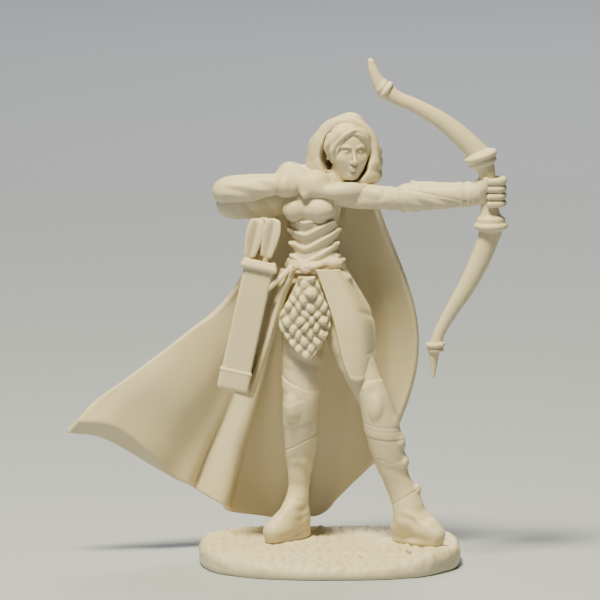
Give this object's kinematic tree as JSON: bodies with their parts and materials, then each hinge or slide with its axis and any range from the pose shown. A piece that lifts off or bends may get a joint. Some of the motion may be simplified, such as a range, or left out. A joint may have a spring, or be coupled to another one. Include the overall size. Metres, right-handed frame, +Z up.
{
  "type": "game miniature figure",
  "caption": "unpainted plastic tabletop miniature of a hooded, cloaked archer holding out a recurved bow, on an oval textured ground base",
  "frame": {"origin": "centre of the base's flat underside", "axes": "+Z up from the base to the head, +Z is also the longest extent; the figure faces -Y; the bow is held out towards +X"},
  "size_m": [0.0357, 0.0184, 0.0411],
  "materials": {
    "figure_plastic": "unpainted cream moulding plastic, satin, faintly translucent",
    "cloth_plastic": "the same cream moulding plastic with soft cloth folds, satin",
    "gear_plastic": "the same cream moulding plastic with crisp raised detail, satin",
    "base_plastic": "the same cream moulding plastic with a pebbled ground texture, matte"
  },
  "bodies": {
    "root": {"arrow_1": "gear_plastic", "arrow_2": "gear_plastic", "arrow_3": "gear_plastic", "base": "base_plastic", "belt": "gear_plastic", "bow_grip": "gear_plastic", "bow_lower_limb": "gear_plastic", "bow_upper_limb": "gear_plastic", "buckle": "gear_plastic", "cloak": "cloth_plastic", "corset": "gear_plastic", "hair": "figure_plastic", "head": "figure_plastic", "hips": "figure_plastic", "hood": "cloth_plastic", "left_boot": "figure_plastic", "left_bracer": "gear_plastic", "left_hand": "figure_plastic", "left_skirt": "cloth_plastic", "left_thigh": "figure_plastic", "left_upper_arm": "figure_plastic", "mantle": "cloth_plastic", "quiver": "gear_plastic", "quiver_strap": "gear_plastic", "right_boot": "figure_plastic", "right_forearm": "figure_plastic", "right_hand": "figure_plastic", "right_skirt": "cloth_plastic", "right_thigh": "figure_plastic", "right_upper_arm": "figure_plastic", "scale_apron": "gear_plastic", "torso": "figure_plastic"}
  },
  "joints": []
}
